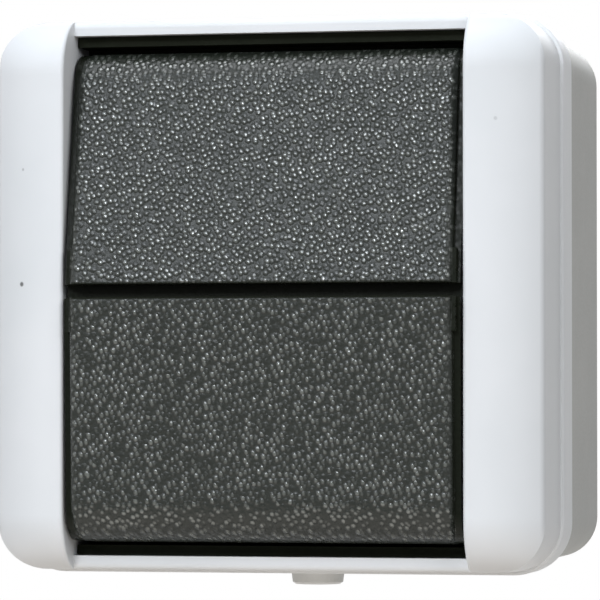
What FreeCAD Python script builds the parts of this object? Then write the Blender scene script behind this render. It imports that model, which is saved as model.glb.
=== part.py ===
import FreeCAD, Part
import math
import os
from FreeCAD import Vector

os.makedirs("parts", exist_ok=True)

# Sizes in mm. The wall is the plane Y = 0, the front points to -Y and Z is up.
# A height (h) is measured out from the wall.

# Hood
hood_width = 75.4
hood_height = 74.4
hood_corner = 6.9
bead_depth = 6.9
bead_step = 0.5
bead_edge = 0.4
side_lean = 0.4
pillar_width = 9.95
pillar_rise = 5.4
crown_drop = 4.0
inner_edge = 0.5
outer_edge = 1.8
edge_overlap = 0.15
edge_turn = 84.0
end_round = 7.6
end_reach = 7.0
sill_wall = 1.65
sill_edge = 0.9
sill_overlap = 0.05
hood_wall = 2.2
well_depth = 8.2
well_floor = 1.8
seam_gap = 0.3
room_height = 1.4
crown_skin = 0.6
opening_side = 1.8
opening_end = 2.2
opening_corner = 1.5

# Box
base_depth = 29.5
rim_overhang = 1.2
base_wall = 2.6
base_floor = 2.4
spigot_step = 1.0
spigot_height = 4.5
spigot_gap = 0.25
boss_radius = 3.6
pilot_depth = 9.0
wall_hole_radius = 2.2
wall_hole_inset = 9.2
collar_width = 2.0
collar_height = 2.0
entry_radius = 8.0
entry_height = 17.2
knockout_groove = 0.9
knockout_web = 1.0

# Seals
gasket_thickness = 1.2
seal_thickness = 1.0
seal_gap = 0.1
upstand_thickness = 1.3
upstand_drop = 1.7
lip_height = 1.0
washer_thickness = 0.8

# Cable nipple
nipple_flange = 1.2
nipple_grip = 1.2
nipple_gap = 0.05
tip_radius = 3.75
tip_taper = 0.35
tip_length = 2.2
tip_skin = 0.8

# Rocker
rocker_gap = 1.2
rocker_end_gap = 2.1
rocker_slope = 5.85
rocker_tilt = 4.05
rocker_round = 5.75
rocker_edge = 1.0
ledge_drop = 1.6
ledge_gap = 0.3
ledge_reach = 1.5
ridge_over_pillar = 1.8
rocker_wall = 2.0
pivot_depth = 6.3
groove_width = 1.8
groove_depth = 3.2
groove_floor = 1.2
cheek_height = 10.8
cheek_step = 0.45
cheek_drop = 0.9
pip_radius = 1.6
pip_reach = 1.2
run_gap = 0.06
swing_gap = 0.4
rib_thickness = 1.2
rib_foot = 5.5
stiffener_x = 12.0
stiffener_depth = 3.4

# Drive from the rocker to the contacts
blade_width = 6.6
blade_thickness = 1.8
bead_radius = 1.2
drive_arm = 9.5
fork_arm = 5.0
fork_gap = 0.3
prong_thickness = 1.4
hub_radius = 3.2
hub_width = 11.6
axle_radius = 1.5
axle_reach = 2.0
guide_radius = 3.4
guide_length = 7.0
guide_bore = 1.9
spring_seat = 2.0
nose_length = 3.0
spring_end_gap = 0.02
plunger_gap = 0.05
plunger_arm = 12.0
plunger_length = 9.5
nose_radius = 1.2
spring_wire = 0.22
spring_turns = 5
spring_gap = 0.25
tip_gap = 0.12
lever_ratio = 1.48
lever_width = 6.8
lever_thickness = 1.0
lever_rise = 0.95
lever_pin_radius = 0.8
contact_radius = 1.5
contact_thickness = 0.9
contact_gap = 0.13

# Insert
insert_clear = 1.65
insert_corner = 3.0
cover_plate = 2.5
bearing_seat = 0.44
bearing_front = 2.6
bearing_wall = 2.2
ear_width = 14.0
ear_gap = 2.4
hub_side_gap = 0.3
hub_swing = 1.0
foot_radius = 2.2
foot_inset = 4.0
strip_thickness = 0.8
strip_width = 5.0
body_floor = 3.5
lug_thickness = 0.8
lug_gap = 0.4
clamp_size = 7.0
clamp_height = 9.0
clamp_side_wall = 4.0
clamp_end_wall = 6.0
wire_radius = 1.7
wire_lift = 1.0
bell_gap = 0.3
fit_gap = 0.1

# Screws
screw_radius = 1.6
screw_gap = 0.05
clear_hole = 0.3
head_radius = 2.8
head_height = 1.9
slot_width = 0.8
slot_depth = 0.9
head_clear = 2.0
hood_screw_length = 14.0
insert_screw_length = 9.0
clamp_screw_length = 3.6
clamp_screw_radius = 1.3
clamp_head_radius = 2.3

# Levels and outlines that follow from the sizes above
hood_rear = base_depth + seam_gap
bead_front = hood_rear + bead_depth
side_width = hood_width - 2 * bead_step
side_height = hood_height - 2 * bead_step
side_corner = hood_corner - bead_step
front_width = side_width - 2 * side_lean
front_height = side_height - 2 * side_lean
front_corner = side_corner
window_width = front_width - 2 * pillar_width
window_height = front_height - 2 * sill_wall
partition_back = base_depth + spigot_height + gasket_thickness + room_height
partition_front = partition_back + well_floor
sill_front = partition_front + well_depth
pillar_front = sill_front + pillar_rise
base_width = hood_width - 2 * rim_overhang
base_height = hood_height - 2 * rim_overhang
base_corner = hood_corner - rim_overhang
cavity_width = base_width - 2 * base_wall
cavity_height = base_height - 2 * base_wall
cavity_corner = base_corner - base_wall
spigot_front = base_depth + spigot_height
gasket_front = spigot_front + gasket_thickness
seal_front = partition_front + seal_thickness
ridge_front = pillar_front + ridge_over_pillar
pivot_h = ridge_front - pivot_depth
rocker_width = window_width - 2 * rocker_gap
rocker_height = window_height - 2 * rocker_end_gap
hood_screw_x = rocker_width / 2 - rocker_wall - head_radius - head_clear
hood_screw_z = rocker_height / 2 - rocker_wall - head_radius - head_clear
insert_width = 2 * (hood_screw_z - boss_radius - insert_clear)
clamp_x = insert_width / 2 - clamp_side_wall - clamp_size / 2
contact_arm = insert_width / 2 - clamp_end_wall - clamp_size / 2
wall_hole_x = cavity_width / 2 - wall_hole_inset
wall_hole_z = cavity_height / 2 - wall_hole_inset
drive_h = pivot_h - drive_arm
hub_h = drive_h - fork_arm
toggle_tilt = rocker_tilt * drive_arm / fork_arm
lever_tilt = rocker_tilt * lever_ratio
tip_h = hub_h - plunger_arm
lever_h = tip_h - tip_gap - lever_rise
cover_back = hub_h - axle_radius - run_gap - bearing_seat
cover_front = cover_back + cover_plate
contact_drop = lever_thickness - lever_rise + contact_thickness
lever_sine = math.sin(math.radians(lever_tilt))
lever_cosine = math.cos(math.radians(lever_tilt))
fixed_front = lever_h - contact_drop * lever_cosine - (contact_arm + contact_radius) * lever_sine - contact_gap
strip_front = fixed_front - contact_thickness
strip_back = strip_front - strip_thickness
body_back = strip_back - body_floor
clamp_front = strip_back + clamp_height
wire_h = strip_front + wire_radius + wire_lift
opening_width = blade_width + 2 * opening_side
opening_height = 2 * (bead_radius + fork_gap + prong_thickness + opening_end)
insert_screw_x = insert_width / 2 + boss_radius + ear_gap
hub_room = hub_width / 2 + hub_side_gap
hub_depth = hub_radius + hub_swing
hood_screw_places = [(-hood_screw_x, hood_screw_z), (hood_screw_x, -hood_screw_z)]
wall_hole_places = [(wall_hole_x, wall_hole_z), (-wall_hole_x, -wall_hole_z)]
insert_screw_places = [(-insert_screw_x, 0), (insert_screw_x, 0)]
clamp_places = [(-clamp_x, 0), (clamp_x, contact_arm), (clamp_x, -contact_arm)]


def at(x, h, z):
    return Vector(x, -h, z)


def box(x0, x1, h0, h1, z0, z1):
    return Part.makeBox(x1 - x0, h1 - h0, z1 - z0, at(x0, h1, z0))


def post(radius, x, z, h0, h1):
    return Part.makeCylinder(radius, h1 - h0, at(x, h0, z), Vector(0, -1, 0))


def pin(radius, x0, x1, h, z):
    return Part.makeCylinder(radius, x1 - x0, at(x0, h, z), Vector(1, 0, 0))


def arc_points(cx, cz, radius, start, turn, h):
    points = []
    for part in (0, 0.5, 1):
        angle = math.radians(start + turn * part)
        points.append(at(cx + radius * math.cos(angle), h, cz + radius * math.sin(angle)))
    return points


def outline(width, height, radius, h, x=0.0, z=0.0):
    across = width / 2 - radius
    up = height / 2 - radius
    arcs = []
    for i, (sx, sz) in enumerate([(1, 1), (-1, 1), (-1, -1), (1, -1)]):
        arcs.append(arc_points(x + sx * across, z + sz * up, radius, 90 * i, 90, h))
    edges = []
    for i, points in enumerate(arcs):
        edges.append(Part.Arc(*points).toShape())
        edges.append(Part.makeLine(points[2], arcs[(i + 1) % 4][0]))
    return Part.Wire(edges)


def slab(width, height, radius, h0, h1, x=0.0, z=0.0):
    return Part.Face(outline(width, height, radius, h0, x, z)).extrude(Vector(0, h0 - h1, 0))


def side_prism(points, x0, x1):
    corners = [at(x0, h, z) for h, z in points]
    return Part.Face(Part.makePolygon(corners + corners[:1])).extrude(Vector(x1 - x0, 0, 0))


def plan_prism(points, z0, z1):
    corners = [at(x, h, z0) for x, h in points]
    return Part.Face(Part.makePolygon(corners + corners[:1])).extrude(Vector(0, 0, z1 - z0))


def joined(shapes):
    return shapes[0].multiFuse(shapes[1:]).removeSplitter()


def mirrored_in_x(shape):
    return shape.mirror(Vector(0, 0, 0), Vector(1, 0, 0))


def mirrored_in_z(shape):
    return shape.mirror(Vector(0, 0, 0), Vector(0, 0, 1))


def turned(shape, degrees, h):
    copy = shape.copy()
    copy.rotate(at(0, h, 0), Vector(1, 0, 0), degrees)
    return copy


def save(name, shape):
    shape.exportStep("parts/" + name + ".step")


def front_curve(radius, centre_x, centre_h, start, end, z):
    points = []
    for part in (0, 0.5, 1):
        angle = math.radians(start + (end - start) * part)
        points.append(at(centre_x + radius * math.sin(angle), centre_h + radius * math.cos(angle), z))
    return points


# The pillar's section: a small inner edge, a crowned face and a tighter outer edge
def pillar_section(fall, z, foot):
    front = pillar_front - fall
    inner = window_width / 2
    crown_width = pillar_width - inner_edge
    crown = (crown_width ** 2 + crown_drop ** 2) / (2 * crown_drop)
    hub_x = front_width / 2 + edge_overlap - outer_edge
    hub_offset = hub_x - inner - inner_edge
    hub_h = front - crown + math.sqrt((crown - outer_edge) ** 2 - hub_offset ** 2)
    lean = math.degrees(math.asin(hub_offset / (crown - outer_edge)))
    first = front_curve(inner_edge, inner + inner_edge, front - inner_edge, -90, 0, z)
    face = front_curve(crown, inner + inner_edge, front - crown, 0, lean, z)
    last = front_curve(outer_edge, hub_x, hub_h, lean, edge_turn, z)
    outside = at(front_width / 2 + bead_step + side_lean + 1, foot, z)
    shoulder = at(outside.x, hub_h - 2, z)
    inside = at(inner, foot, z)
    return Part.Wire([
        Part.Arc(*first).toShape(),
        Part.Arc(*face).toShape(),
        Part.Arc(*last).toShape(),
        Part.makeLine(last[2], shoulder),
        Part.makeLine(shoulder, outside),
        Part.makeLine(outside, inside),
        Part.makeLine(inside, first[0]),
    ])


# The section is carried along the pillar without turning, over the rounded top and bottom ends
def pillar_front_solid():
    straight = front_height / 2 - end_reach
    limit = math.degrees(math.asin(min(0.97, (end_reach + 0.25) / end_round)))
    path = []
    for start, end in ((-limit, 0), (0, limit)):
        points = []
        for part in (0, 0.5, 1):
            angle = math.radians(start + (end - start) * part)
            side = math.copysign(straight, start + end)
            h = pillar_front - end_round + end_round * math.cos(angle)
            points.append(at(0, h, side + end_round * math.sin(angle)))
        path.append(points)
    spine = Part.Wire([
        Part.Arc(*path[0]).toShape(),
        Part.makeLine(path[0][2], path[1][0]),
        Part.Arc(*path[1]).toShape(),
    ])
    fall = end_round - end_round * math.cos(math.radians(limit))
    maker = Part.BRepOffsetAPI.MakePipeShell(spine)
    maker.setTrihedronMode(Vector(0, 0, 0), Vector(0, 0, 1))
    maker.add(pillar_section(fall, path[0][0].z, partition_back - 3))
    maker.build()
    maker.makeSolid()
    return maker.shape()


def hood_side(h0, h1):
    rear = outline(side_width, side_height, side_corner, bead_front)
    front = outline(front_width, front_height, front_corner, pillar_front + 1)
    body = Part.makeLoft([rear, front], True, True)
    return body.common(box(-hood_width, hood_width, h0, h1, -hood_height, hood_height))


def pillar_pocket():
    inner = window_width / 2 + hood_wall
    outer = front_width / 2 - hood_wall - 0.3
    rear = gasket_front - 0.01
    reach = front_height / 2 - end_reach
    high = pillar_front - hood_wall - crown_skin
    low = pillar_front - crown_drop - hood_wall - 0.2
    deep = plan_prism([(inner, rear), (inner, high), (inner + 1.6, high), (outer, low), (outer, rear)], -reach, reach)
    shallow = box(inner, outer, rear, low - end_reach / 2, -window_height / 2, window_height / 2)
    return deep.fuse(shallow)


# What is cut off a strip's outer edge so that its front rolls over into the leaning wall
def sill_corner():
    half_x = window_width / 2
    lean = side_lean * (pillar_front + 1 - sill_front) / (pillar_front + 1 - bead_front)
    edge_z = front_height / 2 + lean
    hub_z = edge_z + sill_overlap - sill_edge
    hub_h = sill_front - sill_edge
    corner = box(-half_x, half_x, hub_h, sill_front + 1, hub_z, edge_z + 1)
    return corner.cut(pin(sill_edge, -half_x - 1, half_x + 1, hub_h, hub_z))


def hood():
    bead = slab(hood_width, hood_height, hood_corner, hood_rear, bead_front)
    rims = [e for e in bead.Edges if e.BoundBox.YLength < 1e-6]
    bead = bead.makeFillet(bead_edge, rims)
    side = hood_side(bead_front, pillar_front + 1)
    low = side.common(box(-hood_width, hood_width, bead_front, sill_front, -hood_height, hood_height))
    pillar = side.common(pillar_front_solid())
    shell = joined([bead, low, pillar, mirrored_in_x(pillar)])
    half_x = window_width / 2
    half_z = window_height / 2
    well = box(-half_x, half_x, partition_front, pillar_front + 1, -half_z, half_z)
    socket_width = base_width - 2 * (spigot_step - spigot_gap)
    socket_height = base_height - 2 * (spigot_step - spigot_gap)
    socket_corner = base_corner - spigot_step + spigot_gap
    socket = slab(socket_width, socket_height, socket_corner, hood_rear - 1, gasket_front)
    room = slab(cavity_width + 1.6, cavity_height + 1.6, cavity_corner + 0.8, gasket_front - 0.01, partition_back)
    pocket = pillar_pocket()
    opening = slab(opening_width, opening_height, opening_corner, partition_back - 1, partition_front + 1)
    bearing = pin(pip_radius + run_gap, -half_x - hood_wall - 1, half_x + hood_wall + 1, pivot_h, 0)
    corner = sill_corner()
    cuts = [well, socket, room, pocket, mirrored_in_x(pocket), opening, bearing, corner, mirrored_in_z(corner)]
    for x, z in hood_screw_places:
        cuts.append(post(screw_radius + clear_hole, x, z, partition_back - 1, partition_front + 1))
    return shell.cut(joined(cuts)).removeSplitter()


def base_box():
    walls = slab(base_width, base_height, base_corner, 0, base_depth)
    spigot = slab(base_width - 2 * spigot_step, base_height - 2 * spigot_step, base_corner - spigot_step,
                  base_depth - 1, spigot_front)
    cavity = slab(cavity_width, cavity_height, cavity_corner, base_floor, spigot_front + 1)
    bodies = [walls.fuse(spigot).cut(cavity)]
    cuts = []
    for x, z in insert_screw_places:
        bodies.append(post(boss_radius, x, z, base_floor - 0.5, cover_back))
        cuts.append(post(screw_radius + screw_gap, x, z, cover_back - pilot_depth, cover_back + 1))
    for x, z in hood_screw_places:
        bodies.append(post(boss_radius, x, z, base_floor - 0.5, partition_back))
        cuts.append(post(screw_radius + screw_gap, x, z, partition_back - hood_screw_length, partition_back + 1))
    for x, z in wall_hole_places:
        bodies.append(post(wall_hole_radius + collar_width, x, z, base_floor - 0.5, base_floor + collar_height))
        cuts.append(post(wall_hole_radius, x, z, -1, base_floor + collar_height + 1))
    foot = insert_width / 2 - foot_inset
    for x, z in [(foot, foot), (-foot, foot), (-foot, -foot), (foot, -foot)]:
        bodies.append(post(foot_radius, x, z, base_floor - 0.5, body_back))
    bottom = -base_height / 2
    cuts.append(Part.makeCylinder(entry_radius, base_wall + 2, at(0, entry_height, bottom - 1), Vector(0, 0, 1)))
    ring_foot = at(0, entry_height, base_height / 2 - base_wall + knockout_web)
    ring = Part.makeCylinder(entry_radius, base_wall + 1, ring_foot, Vector(0, 0, 1))
    core = Part.makeCylinder(entry_radius - knockout_groove, base_wall + 1, ring_foot, Vector(0, 0, 1))
    cuts.append(ring.cut(core))
    result = joined(bodies)
    for cut in cuts:
        result = result.cut(cut)
    return result.removeSplitter()


def hood_gasket():
    ring = slab(base_width - 2 * spigot_step, base_height - 2 * spigot_step, base_corner - spigot_step,
                spigot_front, gasket_front)
    return ring.cut(slab(cavity_width, cavity_height, cavity_corner, spigot_front - 1, gasket_front + 1))


def rocker_seal():
    half_x = window_width / 2 - seal_gap
    half_z = window_height / 2 - seal_gap
    floor = box(-half_x, half_x, partition_front, seal_front, -half_z, half_z)
    rise = sill_front - upstand_drop
    top = box(-half_x, half_x, partition_front, rise, half_z - upstand_thickness, half_z)
    bottom = box(-half_x, half_x, partition_front, rise, -half_z, upstand_thickness - half_z)
    lip = slab(opening_width + 2 * seal_thickness, opening_height + 2 * seal_thickness,
               opening_corner + seal_thickness, partition_front, seal_front + lip_height)
    mat = joined([floor, top, bottom, lip])
    mat = mat.cut(slab(opening_width, opening_height, opening_corner, partition_front - 1, seal_front + lip_height + 1))
    for x, z in hood_screw_places:
        mat = mat.cut(post(screw_radius + clear_hole, x, z, partition_front - 1, seal_front + 1))
    return mat


# A revolved plug: inner flange, neck in the wall's hole, outer flange and a closed tapering tip
def cable_nipple():
    inside = -base_height / 2 + base_wall
    outside = -base_height / 2
    tip = outside - nipple_flange
    neck = entry_radius - nipple_gap
    wide = entry_radius + nipple_grip
    end = tip - tip_length
    bore = tip_radius - tip_taper - tip_skin
    profile = [
        (bore, inside + nipple_flange), (wide, inside + nipple_flange), (wide, inside), (neck, inside),
        (neck, outside), (wide, outside), (wide - 0.4, tip), (tip_radius, tip),
        (tip_radius - tip_taper * 0.7, end + 0.3), (tip_radius - tip_taper - 0.3, end), (0, end),
        (0, end + tip_skin), (bore, end + tip_skin),
    ]
    points = [at(r, entry_height, z) for r, z in profile]
    face = Part.Face(Part.makePolygon(points + points[:1]))
    return face.revolve(at(0, entry_height, 0), Vector(0, 0, 1), 360)


def screw(x, z, seat, length, shank, head):
    body = post(head, x, z, seat, seat + head_height).fuse(post(shank, x, z, seat - length, seat + 0.1))
    top = seat + head_height
    return body.cut(box(x - head - 1, x + head + 1, top - slot_depth, top + 1, z - slot_width / 2, z + slot_width / 2))


def hood_screws():
    seat = seal_front + washer_thickness
    return Part.makeCompound([screw(x, z, seat, hood_screw_length, screw_radius, head_radius)
                              for x, z in hood_screw_places])


def screw_washers():
    rings = []
    for x, z in hood_screw_places:
        disc = post(head_radius, x, z, seal_front, seal_front + washer_thickness)
        rings.append(disc.cut(post(screw_radius + screw_gap, x, z, seal_front - 1, seal_front + 2)))
    return Part.makeCompound(rings)


def insert_screws():
    return Part.makeCompound([screw(x, z, cover_front, insert_screw_length, screw_radius, head_radius)
                              for x, z in insert_screw_places])


# Half of the rocker's face seen from the side: a straight slope that rolls over into the end wall
def rocker_half(inset, reach, foot, x):
    slope = math.radians(rocker_slope)
    end = rocker_height / 2 - inset + reach
    radius = rocker_round - inset
    hub_z = rocker_height / 2 - rocker_round + reach
    ridge = ridge_front - inset / math.cos(slope)
    hub_h = ridge_front - hub_z * math.tan(slope) - rocker_round / math.cos(slope)
    mid = (slope + math.pi / 2) / 2
    arc = [at(x, hub_h + radius * math.cos(a), hub_z + radius * math.sin(a)) for a in (slope, mid, math.pi / 2)]
    corners = [at(x, foot, end), at(x, foot, 0), at(x, ridge, 0)]
    return Part.Wire([
        Part.makeLine(corners[2], arc[0]),
        Part.Arc(*arc).toShape(),
        Part.makeLine(arc[2], corners[0]),
        Part.makeLine(corners[0], corners[1]),
        Part.makeLine(corners[1], corners[2]),
    ])


def rocker_block(inset, foot, width, reach=0):
    face = Part.Face(rocker_half(inset, reach, foot, -width / 2))
    return face.extrude(Vector(width, 0, 0))


def rocker_skirt():
    drop = math.sin(math.radians(rocker_tilt)) * rocker_height / 2
    return seal_front + swing_gap + drop


def rocker():
    foot = rocker_skirt()
    half = rocker_block(0, foot, rocker_width)
    long_edges = []
    for e in half.Edges:
        spread = e.BoundBox.XLength
        outer = abs(abs(e.BoundBox.Center.x) - rocker_width / 2) < 1e-6
        if spread < 1e-6 and outer and e.BoundBox.Center.z > 1 and -e.BoundBox.Center.y > foot + 0.1:
            long_edges.append(e)
    half = half.makeFillet(rocker_edge, long_edges)
    half = half.fuse(rocker_block(ledge_drop, foot, window_width - 2 * ledge_gap, ledge_reach))
    hollow = rocker_block(rocker_wall, foot - 1, rocker_width - 2 * rocker_wall)
    half = half.cut(hollow)
    rib_front = ridge_front - groove_depth - groove_floor
    rib_half = groove_width / 2 + 1.4
    inner = rocker_width / 2 - rocker_wall
    bodies = [half, mirrored_in_z(half)]
    bodies.append(box(-inner - 0.5, inner + 0.5, rib_front, ridge_front - rocker_wall + 0.4, -rib_half, rib_half))
    bodies.append(rocker_stiffeners(foot))
    cheek_top = ridge_front - cheek_drop
    for side in (-1, 1):
        face_x = side * (rocker_width / 2 - 0.5)
        cheek_x = side * (rocker_width / 2 + cheek_step)
        tip_x = side * (window_width / 2 + pip_reach)
        x0, x1 = sorted((face_x, cheek_x))
        bodies.append(box(x0, x1, foot, cheek_top, -cheek_height / 2, cheek_height / 2))
        x0, x1 = sorted((face_x, tip_x))
        bodies.append(pin(pip_radius, x0, x1, pivot_h, 0))
    bodies.append(rocker_blade(rib_front))
    body = joined(bodies)
    groove_bottom = ridge_front - groove_depth
    groove = box(-rocker_width, rocker_width, groove_bottom, ridge_front + 1, -groove_width / 2, groove_width / 2)
    return turned(body.cut(groove), -rocker_tilt, pivot_h)


def rocker_stiffeners(foot):
    web = rocker_block(rocker_wall - 0.2, foot + 1, rib_thickness)
    web = web.cut(rocker_block(rocker_wall + stiffener_depth, foot, rib_thickness + 2))
    webs = []
    for x in (-stiffener_x, stiffener_x):
        one = web.copy()
        one.translate(Vector(x, 0, 0))
        webs.append(one.fuse(mirrored_in_z(one)))
    return webs[0].fuse(webs[1])


# The blade behind the rocker, with a round bead that sits in the toggle's fork
def rocker_blade(root):
    half = blade_width / 2
    blade = box(-half, half, drive_h, root + 0.5, -blade_thickness / 2, blade_thickness / 2)
    bead = pin(bead_radius, -half, half, drive_h, 0)
    low = root - rib_foot - 0.5
    brace_points = [(root + 0.5, -rib_foot), (root - 0.5, -rib_foot), (low, -blade_thickness / 2),
                    (low, blade_thickness / 2), (root - 0.5, rib_foot), (root + 0.5, rib_foot)]
    braces = [side_prism(brace_points, x - rib_thickness / 2, x + rib_thickness / 2)
              for x in (-half + rib_thickness / 2, half - rib_thickness / 2)]
    return joined([blade, bead] + braces)


def toggle():
    half = hub_width / 2
    slot_half = bead_radius + fork_gap
    prong_half = slot_half + prong_thickness
    prong_front = drive_h + bead_radius
    hub = pin(hub_radius, -half, half, hub_h, 0)
    fork_x = blade_width / 2 + 0.3
    fork = box(-fork_x, fork_x, hub_h, prong_front, -prong_half, prong_half)
    guide = post(guide_radius, 0, 0, hub_h - guide_length, hub_h)
    axle = pin(axle_radius, -half - axle_reach, half + axle_reach, hub_h, 0)
    body = joined([hub, fork, guide, axle])
    slot_floor = drive_h - bead_radius - fork_gap
    body = body.cut(box(-fork_x - 1, fork_x + 1, slot_floor, prong_front + 1, -slot_half, slot_half))
    body = body.cut(post(guide_bore, 0, 0, hub_h - guide_length - 1, spring_top()))
    return turned(body, toggle_tilt, hub_h)


def spring_top():
    return hub_h + spring_seat


def plunger():
    top = tip_h + plunger_length
    collar = tip_h + nose_length
    shank = post(guide_bore - plunger_gap, 0, 0, collar, top)
    nose = post(nose_radius, 0, 0, tip_h + nose_radius, collar)
    ball = Part.makeSphere(nose_radius, at(0, tip_h + nose_radius, 0))
    return turned(joined([shank, nose, ball]), toggle_tilt, hub_h)


# One six-sided section of the coil, at a part of the way along the wire
def coil_section(part, bottom, length):
    angle = 2 * math.pi * spring_turns * part
    outward = Vector(math.cos(angle), 0, math.sin(angle))
    centre = outward * (guide_bore - spring_gap - spring_wire) + at(0, bottom + length * part, 0)
    ring = []
    for i in range(6):
        turn = 2 * math.pi * i / 6
        ring.append(centre + outward * (spring_wire * math.cos(turn)) + at(0, spring_wire * math.sin(turn), 0))
    return Part.makePolygon(ring + ring[:1])


def plunger_spring():
    bottom = tip_h + plunger_length + spring_wire + spring_end_gap
    length = spring_top() - spring_wire - spring_end_gap - bottom
    steps = 12 * spring_turns
    coil = Part.makeLoft([coil_section(i / steps, bottom, length) for i in range(steps + 1)], True, True)
    return turned(coil, toggle_tilt, hub_h)


def contact_lever():
    half = lever_width / 2
    front = lever_h + lever_rise
    reach = contact_arm + contact_radius + 0.3
    strip = slab(lever_width, 2 * reach, 1.6, front - lever_thickness, front)
    reach_x = half + lug_gap + lug_thickness - 0.2
    axle = pin(lever_pin_radius, -reach_x, reach_x, lever_h, 0)
    return turned(strip.fuse(axle), -lever_tilt, lever_h)


def moving_contacts():
    back = lever_h + lever_rise - lever_thickness
    rivets = [post(contact_radius, 0, z, back - contact_thickness, back) for z in (contact_arm, -contact_arm)]
    return turned(Part.makeCompound(rivets), -lever_tilt, lever_h)


def fixed_contacts():
    return Part.makeCompound([post(contact_radius, 0, z, strip_front, fixed_front)
                              for z in (contact_arm, -contact_arm)])


# A brass block with a hole for the wire and a tapped hole for the clamping screw
def clamp(x, z, along):
    half = clamp_size / 2
    block = box(x - half, x + half, strip_back, clamp_front, z - half, z + half)
    start = at(x, wire_h, z) - along * clamp_size
    block = block.cut(Part.makeCylinder(wire_radius, 2 * clamp_size, start, along))
    return block.cut(post(clamp_screw_radius + screw_gap, x, z, wire_h, clamp_front + 1))


def side_terminal(z):
    half = strip_width / 2
    strip = box(-half, clamp_x - clamp_size / 2 + 0.2, strip_back, strip_front, z - half, z + half)
    return strip.fuse(clamp(clamp_x, z, Vector(0, 0, 1))).removeSplitter()


def common_terminal():
    inner = lever_width / 2 + lug_gap
    outer = inner + lug_thickness
    half = strip_width / 2
    plate = box(-clamp_x + clamp_size / 2 - 0.2, outer, strip_back, strip_front, -half, half)
    lug_top = lever_h + lever_pin_radius + 0.9
    bodies = [plate, clamp(-clamp_x, 0, Vector(1, 0, 0))]
    for x0, x1 in ((-outer, -inner), (inner, outer)):
        bodies.append(box(x0, x1, strip_back, lug_top, -half + 0.4, half - 0.4))
    return joined(bodies).cut(pin(lever_pin_radius + run_gap, -outer - 1, outer + 1, lever_h, 0))


def terminal_screws():
    return Part.makeCompound([screw(x, z, clamp_front, clamp_screw_length, clamp_screw_radius, clamp_head_radius)
                              for x, z in clamp_places])


def insert_body():
    half = insert_width / 2
    body = slab(insert_width, insert_width, insert_corner, body_back, cover_back)
    channel = lever_width / 2 + lug_gap + lug_thickness + fit_gap
    reach = contact_arm + strip_width / 2 + 1.5
    cuts = [box(-channel, channel, strip_back, cover_back + 1, -reach, reach)]
    cuts.append(box(-hub_room, hub_room, hub_h - hub_radius - 0.5, cover_back + 1, -hub_depth, hub_depth))
    pocket = clamp_size / 2 + fit_gap
    bar = strip_width / 2 + fit_gap
    for x, z in clamp_places:
        cuts.append(box(x - pocket, x + pocket, strip_back, cover_back + 1, z - pocket, z + pocket))
        x0, x1 = sorted((0, x))
        cuts.append(box(x0, x1, strip_back, strip_front + fit_gap, z - bar, z + bar))
    bell = wire_radius + bell_gap
    for z in (1, -1):
        cuts.append(Part.makeCylinder(bell, half, at(clamp_x, wire_h, z * contact_arm), Vector(0, 0, z)))
    cuts.append(Part.makeCylinder(bell, half, at(-clamp_x, wire_h, 0), Vector(-1, 0, 0)))
    return body.cut(joined(cuts))


def insert_cover():
    plate = slab(insert_width, insert_width, insert_corner, cover_back, cover_front)
    ears = slab(2 * (insert_screw_x + boss_radius), ear_width, 3.0, cover_back, cover_front)
    side = hub_room + bearing_wall
    tower = box(-side, side, cover_back, hub_h + bearing_front, -hub_depth - 1.8, hub_depth + 1.8)
    body = joined([plate, ears, tower])
    cuts = [box(-hub_room, hub_room, cover_back - 1, hub_h + bearing_front + 1, -hub_depth, hub_depth)]
    bore = axle_radius + run_gap
    cuts.append(pin(bore, -side - 1, side + 1, hub_h, 0))
    cuts.append(box(-side - 1, side + 1, cover_back - 1, hub_h, -bore, bore))
    for x, z in clamp_places:
        cuts.append(post(clamp_head_radius + clear_hole, x, z, cover_back - 1, hub_h + bearing_front + 1))
    for x, z in insert_screw_places:
        cuts.append(post(screw_radius + clear_hole, x, z, cover_back - 1, cover_front + 1))
    return body.cut(joined(cuts)).removeSplitter()


save("base_box", base_box())
save("hood", hood())
save("hood_gasket", hood_gasket())
save("rocker_seal", rocker_seal())
save("cable_nipple", cable_nipple())
save("hood_screws", hood_screws())
save("screw_washers", screw_washers())
save("insert_body", insert_body())
save("insert_cover", insert_cover())
save("insert_screws", insert_screws())
save("common_terminal", common_terminal())
save("upper_terminal", side_terminal(contact_arm))
save("lower_terminal", side_terminal(-contact_arm))
save("terminal_screws", terminal_screws())
save("fixed_contacts", fixed_contacts())
save("contact_lever", contact_lever())
save("moving_contacts", moving_contacts())
save("rocker", rocker())
save("toggle", toggle())
save("plunger", plunger())
save("plunger_spring", plunger_spring())
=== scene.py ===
import math
import bpy
import numpy as np
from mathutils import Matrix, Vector


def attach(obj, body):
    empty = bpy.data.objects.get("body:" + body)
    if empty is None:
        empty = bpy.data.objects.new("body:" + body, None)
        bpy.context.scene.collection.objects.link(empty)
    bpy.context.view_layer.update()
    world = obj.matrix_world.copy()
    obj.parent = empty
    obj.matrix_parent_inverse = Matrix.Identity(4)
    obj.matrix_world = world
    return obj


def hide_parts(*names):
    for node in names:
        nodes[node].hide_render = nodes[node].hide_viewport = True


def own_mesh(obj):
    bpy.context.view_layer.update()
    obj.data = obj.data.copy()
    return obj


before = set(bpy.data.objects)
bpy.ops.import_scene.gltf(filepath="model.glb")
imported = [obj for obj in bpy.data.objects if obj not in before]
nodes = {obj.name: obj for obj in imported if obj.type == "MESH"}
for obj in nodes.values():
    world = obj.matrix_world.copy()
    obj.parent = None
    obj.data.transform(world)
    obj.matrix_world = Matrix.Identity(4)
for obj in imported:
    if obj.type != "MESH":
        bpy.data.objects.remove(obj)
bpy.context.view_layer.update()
scene = bpy.context.scene
mm = 0.001
print("frame loaded:", len(nodes), "nodes")


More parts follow.
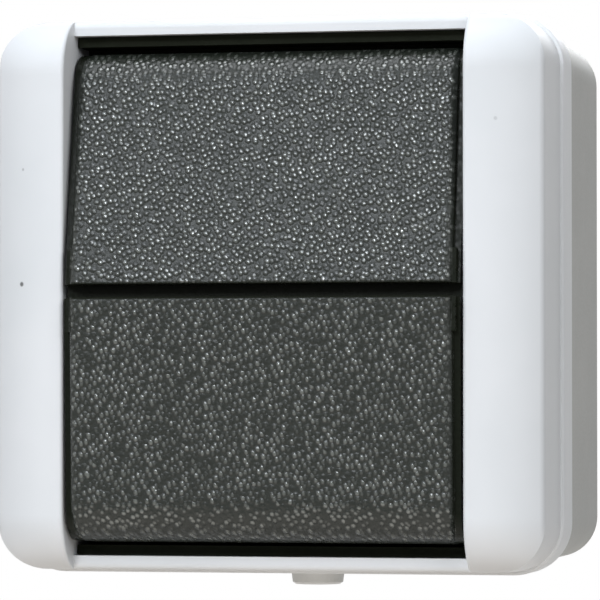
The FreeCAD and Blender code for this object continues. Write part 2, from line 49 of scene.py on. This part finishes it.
# sRGB hex to linear: each channel is undone by the sRGB curve
def hexLinear(code):
    channels = [int(code[i:i + 2], 16) / 255 for i in (1, 3, 5)]
    return [c / 12.92 if c <= 0.04045 else ((c + 0.055) / 1.055) ** 2.4 for c in channels] + [1.0]


# adds one node: settings go to its properties or input sockets, links join other outputs to its inputs
def addNode(tree, kind, settings=None, links=None):
    node = tree.nodes.new(kind)
    for key, value in (settings or {}).items():
        if isinstance(key, str) and hasattr(node, key):
            setattr(node, key, value)
        else:
            node.inputs[key].default_value = value
    for key, output in (links or {}).items():
        tree.links.new(output, node.inputs[key])
    return node


def startMaterial(name, settings):
    material = bpy.data.materials.new(name)
    material.use_nodes = True
    tree = material.node_tree
    tree.nodes.clear()
    shader = addNode(tree, "ShaderNodeBsdfPrincipled", settings)
    addNode(tree, "ShaderNodeOutputMaterial", {}, {"Surface": shader.outputs[0]})
    place = addNode(tree, "ShaderNodeTexCoord").outputs["Object"]
    return material, tree, shader, place


# scale of a pattern whose features are this many mm across
def perMm(size):
    return 1 / (size * mm)


# moulded plastic, rubber or metal skin: a slow drift between two tones, uneven gloss and a fine skin in the bump
def skinMaterial(name, look):
    driftBand, skinBand = (0.35, 0.65), (0.3, 0.7)  # the part of each noise that is stretched to its full effect
    material, tree, shader, place = startMaterial(name, look["shader"])
    drift = addNode(tree, "ShaderNodeTexNoise", {"Scale": perMm(look["driftMm"]), "Detail": 3.0}, {"Vector": place})
    spread = addNode(tree, "ShaderNodeMapRange", {"From Min": driftBand[0], "From Max": driftBand[1]},
                     {"Value": drift.outputs[0]})
    # sockets 6 and 7 of a mix node are its two colours
    tone = addNode(tree, "ShaderNodeMix",
                   {"data_type": "RGBA", 6: hexLinear(look["dark"]), 7: hexLinear(look["pale"])},
                   {0: spread.outputs[0]})
    skin = addNode(tree, "ShaderNodeTexNoise", {"Scale": perMm(look["skinMm"]), "Detail": 2.0}, {"Vector": place})
    gloss = addNode(tree, "ShaderNodeMapRange",
                    {"From Min": skinBand[0], "From Max": skinBand[1],
                     "To Min": look["rough"][0], "To Max": look["rough"][1]},
                    {"Value": skin.outputs[0]})
    bump = addNode(tree, "ShaderNodeBump", {"Strength": look["bump"], "Distance": look["depthMm"] * mm},
                   {"Height": skin.outputs[0]})
    tree.links.new(gloss.outputs[0], shader.inputs["Roughness"])
    tree.links.new(bump.outputs[0], shader.inputs["Normal"])
    tree.links.new(tone.outputs[2], shader.inputs["Base Color"])
    return material, tree, shader, place, tone


# ASA hood, moulded with a satin skin: pale grey with soft highlights and three specks of dirt
# a speck is its place and its radius in mm, and how strong it is
hoodLook = {"shader": {"IOR": 1.5, "Specular IOR Level": 0.15}, "dark": "#DEE0E1", "pale": "#E5E6E7",
            "driftMm": 22, "skinMm": 0.5, "rough": (0.4, 0.48), "bump": 0.06, "depthMm": 0.02,
            "dirt": "#4A4A46", "speckCore": 0.4,
            "specks": [((-32.82, -50.81, 1.41), 0.42, 0.85), ((-32.64, -50.89, 16.64), 0.26, 0.35),
                       ((31.11, -51.45, 22.48), 0.34, 0.22)]}
hoodPlastic, tree, shader, place, tone = skinMaterial("asa_satin_light_grey", hoodLook)
colour = tone.outputs[2]
for spot, radius, strength in hoodLook["specks"]:
    away = addNode(tree, "ShaderNodeVectorMath", {"operation": "DISTANCE", 1: [v * mm for v in spot]}, {0: place})
    speck = addNode(tree, "ShaderNodeMapRange",
                    {"interpolation_type": "SMOOTHSTEP", "From Min": hoodLook["speckCore"] * radius * mm,
                     "From Max": radius * mm, "To Min": strength, "To Max": 0.0},
                    {"Value": away.outputs["Value"]})
    dirty = addNode(tree, "ShaderNodeMix", {"data_type": "RGBA", 7: hexLinear(hoodLook["dirt"])},
                    {0: speck.outputs[0], 6: colour})
    colour = dirty.outputs[2]
tree.links.new(colour, shader.inputs["Base Color"])

# ASA box, moulded with a spark-eroded matt skin: darker and a little warmer than the hood
boxPlastic = skinMaterial("asa_matt_warm_grey", {
    "shader": {"IOR": 1.5, "Specular IOR Level": 0.2}, "dark": "#A6A6A2", "pale": "#ACACA8",
    "driftMm": 16, "skinMm": 0.3, "rough": (0.42, 0.56), "bump": 0.25, "depthMm": 0.03})[0]

# soft elastomer of the cable nipple: dull, pale
nippleElastomer = skinMaterial("tpe_pale_grey", {
    "shader": {"IOR": 1.5}, "dark": "#DCDDDC", "pale": "#E4E5E4",
    "driftMm": 5, "skinMm": 0.25, "rough": (0.5, 0.62), "bump": 0.2, "depthMm": 0.02})[0]

# EPDM rubber: near black, dull. Where it lines the hood's well round the rocker, it is also a dark sheet standing in
# for the shade deep in the well
sealRubber = skinMaterial("epdm_black", {
    "shader": {"IOR": 1.5, "Specular IOR Level": 0.08}, "dark": "#15180F", "pale": "#1D2017",
    "driftMm": 6, "skinMm": 0.2, "rough": (0.6, 0.75), "bump": 0.2, "depthMm": 0.02})[0]

# zinc plate on cold-formed steel: bluish, faintly clouded
screwSteel = skinMaterial("zinc_plated_steel", {
    "shader": {"Metallic": 1.0}, "dark": "#A9ADB0", "pale": "#C3C6C8",
    "driftMm": 1.5, "skinMm": 0.15, "rough": (0.28, 0.42), "bump": 0.15, "depthMm": 0.01})[0]

# white thermoset moulding of the insert: hard, matt, faintly flecked
insertThermoset = skinMaterial("urea_moulding_white", {
    "shader": {"IOR": 1.58}, "dark": "#DCDAD2", "pale": "#E8E6DF",
    "driftMm": 2.5, "skinMm": 0.2, "rough": (0.34, 0.48), "bump": 0.15, "depthMm": 0.02})[0]

# brass strip, blanked and bent: warm, with a dull bloom
terminalBrass = skinMaterial("stamped_brass", {
    "shader": {"Metallic": 1.0}, "dark": "#B08D45", "pale": "#CBA85C",
    "driftMm": 2.0, "skinMm": 0.12, "rough": (0.24, 0.4), "bump": 0.12, "depthMm": 0.01})[0]

# silver alloy rivets: bright, with a light cloud of wear
contactSilver = skinMaterial("silver_contact_alloy", {
    "shader": {"Metallic": 1.0}, "dark": "#C9C6BE", "pale": "#E2E0DA",
    "driftMm": 0.8, "skinMm": 0.1, "rough": (0.18, 0.32), "bump": 0.1, "depthMm": 0.01})[0]

# natural polyamide of the toggle and the plunger: milky, a little waxy
togglePolyamide = skinMaterial("polyamide_natural", {
    "shader": {"IOR": 1.53}, "dark": "#D8D4C6", "pale": "#E3E0D4",
    "driftMm": 3.0, "skinMm": 0.25, "rough": (0.36, 0.48), "bump": 0.12, "depthMm": 0.02})[0]

# drawn spring wire: grey, with a fine grain
springSteel = skinMaterial("drawn_spring_wire", {
    "shader": {"Metallic": 1.0}, "dark": "#8E9092", "pale": "#A8AAAC",
    "driftMm": 0.6, "skinMm": 0.06, "rough": (0.24, 0.36), "bump": 0.1, "depthMm": 0.005})[0]

# PC/ABS rocker, moulded in a leather-grained tool: dark grey pebbles that catch the light, dull valleys between them
grainLook = {"name": "pc_abs_pebble_grain_dark_grey", "dark": "#181C17", "pale": "#51554F", "rough": (0.18, 0.4),
             "bump": 1.0, "depthMm": 0.135,
             "pebbleMm": 0.74, "scatter": 0.72, "turn": 32, "stretch": 0.9,  # the cells and their slant in degrees
             "warpMm": 2.4, "shiftMm": 0.4,  # a slow wander that bends the rows
             "domeEdge": 0.34, "lift": (0.42, 1.0), "crest": (0.42, 0.95),  # foot, heights and painted-highlight top of a pebble
             "fineMm": 0.5, "fineShare": 0.5,  # small unevenness over the pebbles
             # the tints cut the reflection: painted shade in the pebbles' valleys and on the smooth rebates and
             # groove
             "smooth": "#171A13", "smoothTint": "#404040", "hollowTint": "#989898", "crestTint": "#FFFFFF",
             "faceMm": 25.75, "faceFadeMm": 0.5,  # half width of the grained face
             "grooveMm": 0.35, "grooveHalfMm": 1.0, "grooveFadeMm": 0.25}  # height and half width of the groove


def grainedPlastic(look):
    material, tree, shader, place = startMaterial(look["name"], {"IOR": 1.5, "Specular IOR Level": 1.0})
    # the face lies across X and Z, so the flat pattern takes those two
    flat = addNode(tree, "ShaderNodeMapping",
                   {"Rotation": (math.radians(90), 0, math.radians(look["turn"]))}, {"Vector": place})
    warp = addNode(tree, "ShaderNodeTexNoise", {"Scale": perMm(look["warpMm"]), "Detail": 1.0}, {"Vector": place})
    shifted = addNode(tree, "ShaderNodeVectorMath", {"operation": "MULTIPLY_ADD", 1: [look["shiftMm"] * mm] * 3},
                      {0: warp.outputs["Color"], 2: flat.outputs[0]})
    # pebbles are a little longer one way, across the slant
    shifted = addNode(tree, "ShaderNodeVectorMath", {"operation": "MULTIPLY", 1: (1.0, look["stretch"], 1.0)},
                      {0: shifted.outputs[0]})
    cells = addNode(tree, "ShaderNodeTexVoronoi",
                    {"voronoi_dimensions": "2D", "feature": "F1", "Scale": perMm(look["pebbleMm"]),
                     "Randomness": look["scatter"]},
                    {"Vector": shifted.outputs[0]})
    # a pebble is a dome: it falls with the square of the distance from its middle
    square = addNode(tree, "ShaderNodeMath", {"operation": "POWER", 1: 2.0}, {0: cells.outputs["Distance"]})
    dome = addNode(tree, "ShaderNodeMapRange", {"From Min": look["domeEdge"], "From Max": 0.0},
                   {"Value": square.outputs[0]})
    # no two pebbles are equally high
    chance = addNode(tree, "ShaderNodeSeparateColor", {}, {0: cells.outputs["Color"]})
    lift = addNode(tree, "ShaderNodeMapRange", {"To Min": look["lift"][0], "To Max": look["lift"][1]},
                   {"Value": chance.outputs[0]})
    dome = addNode(tree, "ShaderNodeMath", {"operation": "MULTIPLY"}, {0: dome.outputs[0], 1: lift.outputs[0]})
    fine = addNode(tree, "ShaderNodeTexNoise", {"Scale": perMm(look["fineMm"]), "Detail": 1.5}, {"Vector": place})
    height = addNode(tree, "ShaderNodeMath", {"operation": "MULTIPLY_ADD", 1: look["fineShare"]},
                     {0: fine.outputs[0], 2: dome.outputs[0]})
    # the grain stops at the rebates beside the face and in the groove, which the tool left smooth; their darkness is
    # painted shade, mostly through the cut reflection below
    axes = addNode(tree, "ShaderNodeSeparateXYZ", {}, {0: place})
    sideways = addNode(tree, "ShaderNodeMath", {"operation": "ABSOLUTE"}, {0: axes.outputs["X"]})
    onFace = addNode(tree, "ShaderNodeMapRange",
                     {"From Min": look["faceMm"] * mm, "From Max": (look["faceMm"] - look["faceFadeMm"]) * mm},
                     {"Value": sideways.outputs[0]})
    fromGroove = addNode(tree, "ShaderNodeMath", {"operation": "SUBTRACT", 1: look["grooveMm"] * mm},
                         {0: axes.outputs["Z"]})
    fromGroove = addNode(tree, "ShaderNodeMath", {"operation": "ABSOLUTE"}, {0: fromGroove.outputs[0]})
    offGroove = addNode(tree, "ShaderNodeMapRange",
                        {"From Min": look["grooveHalfMm"] * mm,
                         "From Max": (look["grooveHalfMm"] + look["grooveFadeMm"]) * mm},
                        {"Value": fromGroove.outputs[0]})
    grained = addNode(tree, "ShaderNodeMath", {"operation": "MULTIPLY"},
                      {0: onFace.outputs[0], 1: offGroove.outputs[0]})
    relief = addNode(tree, "ShaderNodeMath", {"operation": "MULTIPLY"},
                     {0: height.outputs[0], 1: grained.outputs[0]})
    bump = addNode(tree, "ShaderNodeBump", {"Strength": look["bump"], "Distance": look["depthMm"] * mm},
                   {"Height": relief.outputs[0]})
    # the tops of the taller pebbles are painted pale: a painted highlight standing in for the light they catch
    paintedHighlightTop = addNode(tree, "ShaderNodeMapRange", {"From Min": look["crest"][0], "From Max": look["crest"][1]},
                  {"Value": dome.outputs[0]})
    face = addNode(tree, "ShaderNodeMix",
                   {"data_type": "RGBA", 6: hexLinear(look["dark"]), 7: hexLinear(look["pale"])},
                   {0: paintedHighlightTop.outputs[0]})
    tone = addNode(tree, "ShaderNodeMix", {"data_type": "RGBA", 6: hexLinear(look["smooth"])},
                   {0: grained.outputs[0], 7: face.outputs[2]})
    # the higher on a pebble, the glossier
    gloss = addNode(tree, "ShaderNodeMapRange", {"To Min": look["rough"][1], "To Max": look["rough"][0]},
                    {"Value": dome.outputs[0]})
    # the valleys and the smooth rebates see little of the room, so only the pebbles' tops keep their full reflection
    crest = addNode(tree, "ShaderNodeMix",
                    {"data_type": "RGBA", 6: hexLinear(look["hollowTint"]), 7: hexLinear(look["crestTint"])},
                    {0: paintedHighlightTop.outputs[0]})
    tint = addNode(tree, "ShaderNodeMix", {"data_type": "RGBA", 6: hexLinear(look["smoothTint"])},
                   {0: grained.outputs[0], 7: crest.outputs[2]})
    tree.links.new(tint.outputs[2], shader.inputs["Specular Tint"])
    tree.links.new(tone.outputs[2], shader.inputs["Base Color"])
    tree.links.new(gloss.outputs[0], shader.inputs["Roughness"])
    tree.links.new(bump.outputs[0], shader.inputs["Normal"])
    return material


rockerPlastic = grainedPlastic(grainLook)

# each CAD node comes with a material named for its slot
finishes = {"hood_grey": hoodPlastic, "box_grey": boxPlastic, "nipple_grey": nippleElastomer,
            "black_rubber": sealRubber, "screw_steel": screwSteel, "insert_white": insertThermoset,
            "terminal_brass": terminalBrass, "contact_silver": contactSilver, "toggle_white": togglePolyamide,
            "spring_steel": springSteel, "rocker_grey": rockerPlastic}
for node in nodes.values():
    node.data.materials[0] = finishes[node.data.materials[0].name]
print("materials:", len(finishes))

# the coil spring is a copy of its node, carried by the toggle's body so its far end stays seated in the toggle; the
# node itself is hidden
springLook = {"node": "plunger_spring", "joint": "plunger_slide", "body": "toggle"}
coil = bpy.data.objects.new("plunger_spring_coil", nodes[springLook["node"]].data.copy())
scene.collection.objects.link(coil)
points = np.empty(3 * len(coil.data.vertices))
coil.data.vertices.foreach_get("co", points)
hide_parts(springLook["node"])
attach(coil, springLook["body"])
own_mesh(coil)
print("spring:", len(coil.data.polygons), "faces")

# camera at the photo's place, in mm: it stands to the right and turns left by the yaw and up by the pitch, in degrees
view = {"place": (123.21, -571.25, -14.12), "yaw": -12.79, "pitch": 1.42, "focalPixels": 4085, "imagePixels": 600,
        "sensorMm": 36, "clipStart": 0.05}
cameraData = bpy.data.cameras.new("camera")
cameraData.sensor_width = view["sensorMm"]
cameraData.lens = view["focalPixels"] * view["sensorMm"] / view["imagePixels"]
cameraData.clip_start = view["clipStart"]
camera = bpy.data.objects.new("camera", cameraData)
camera.location = Vector(view["place"]) * mm
camera.rotation_euler = (math.radians(90 + view["pitch"]), 0, math.radians(-view["yaw"]))
scene.collection.objects.link(camera)
scene.camera = camera
scene.view_settings.view_transform = "Standard"

# soft boxes: azimuth to the right of the front and elevation in degrees, distance from the target and size in m
lampTarget = Vector((0, -0.04, 0))
lamps = {"top_softbox": {"azimuth": -40, "elevation": 80, "away": 0.8, "size": (0.42, 0.42),
                         "watts": 3.3, "colour": "#F6FAFF"},
         "key_softbox": {"azimuth": -10, "elevation": 25, "away": 0.95, "size": (0.21, 0.15),
                         "watts": 3.1, "colour": "#F6FAFF"},
         "brow_softbox": {"azimuth": -12, "elevation": 34, "away": 1.0, "size": (0.7, 0.3),
                          "watts": 3.1, "colour": "#E6F1FF"},
         "low_card": {"azimuth": 0, "elevation": -56, "away": 0.42, "size": (0.9, 0.44),
                      "watts": 1.2, "colour": "#FFF6EC"},
         "right_softbox": {"azimuth": 58, "elevation": 24, "away": 1.0, "size": (0.6, 0.6),
                           "watts": 3.9, "colour": "#F8FBFF"},
         "left_softbox": {"azimuth": -60, "elevation": 24, "away": 1.0, "size": (0.6, 0.6),
                          "watts": 1.9, "colour": "#F8FBFF"},
         "back_softbox": {"azimuth": 180, "elevation": 30, "away": 1.0, "size": (0.6, 0.6),
                          "watts": 4.5, "colour": "#FAFCFF"}}
for name, lamp in lamps.items():
    data = bpy.data.lights.new(name, "AREA")
    data.shape = "RECTANGLE"
    data.size, data.size_y = lamp["size"]
    data.energy = lamp["watts"]
    data.color = hexLinear(lamp["colour"])[:3]
    box = bpy.data.objects.new(name, data)
    turn, rise = math.radians(lamp["azimuth"]), math.radians(lamp["elevation"])
    aim = Vector((math.sin(turn) * math.cos(rise), -math.cos(turn) * math.cos(rise), math.sin(rise)))
    box.location = aim * lamp["away"] + lampTarget
    box.rotation_euler = aim.to_track_quat("Z", "Y").to_euler()
    scene.collection.objects.link(box)

# small pale floor under the low card, well below the part, which hangs on a wall; level and half width in m
floorLook = {"level": -0.52, "half": 0.3, "dark": "#EFEAE3", "pale": "#F4EFE8", "driftMm": 40}
across = np.array([-1, 1, 1, -1]) * floorLook["half"]
deep = np.array([-1, -1, 1, 1]) * floorLook["half"]
floorMesh = bpy.data.meshes.new("floor")
floorMesh.from_pydata(np.stack([across, deep, np.full(4, floorLook["level"])], 1).tolist(), [], [(0, 1, 2, 3)])
floor = bpy.data.objects.new("floor", floorMesh)
scene.collection.objects.link(floor)
# matt floor paint: warm white with a faint drift
floorPaint, tree, shader, place = startMaterial("matt_white_floor_paint", {"Roughness": 0.9, "IOR": 1.45})
drift = addNode(tree, "ShaderNodeTexNoise", {"Scale": perMm(floorLook["driftMm"])}, {"Vector": place})
tone = addNode(tree, "ShaderNodeMix",
               {"data_type": "RGBA", 6: hexLinear(floorLook["dark"]), 7: hexLinear(floorLook["pale"])},
               {0: drift.outputs[0]})
tree.links.new(tone.outputs[2], shader.inputs["Base Color"])
floorMesh.materials.append(floorPaint)

# white for the camera and in reflections, plain soft light for the rest
worldLook = {"soft": "#F2F6FA", "softStrength": 0.04, "white": "#FFFFFF", "whiteStrength": 1.0}
world = bpy.data.worlds.new("studio")
scene.world = world
world.use_nodes = True
tree = world.node_tree
tree.nodes.clear()
rays = addNode(tree, "ShaderNodeLightPath")
seen = addNode(tree, "ShaderNodeMath", {"operation": "MAXIMUM"},
               {0: rays.outputs["Is Camera Ray"], 1: rays.outputs["Is Glossy Ray"]})
seen = addNode(tree, "ShaderNodeMath", {"operation": "MAXIMUM"},
               {0: seen.outputs[0], 1: rays.outputs["Is Transmission Ray"]})
soft = addNode(tree, "ShaderNodeBackground",
               {"Color": hexLinear(worldLook["soft"]), "Strength": worldLook["softStrength"]})
white = addNode(tree, "ShaderNodeBackground",
                {"Color": hexLinear(worldLook["white"]), "Strength": worldLook["whiteStrength"]})
mixed = addNode(tree, "ShaderNodeMixShader", {}, {0: seen.outputs[0], 1: soft.outputs[0], 2: white.outputs[0]})
addNode(tree, "ShaderNodeOutputWorld", {}, {"Surface": mixed.outputs[0]})
print("camera, lamps, floor and world set")
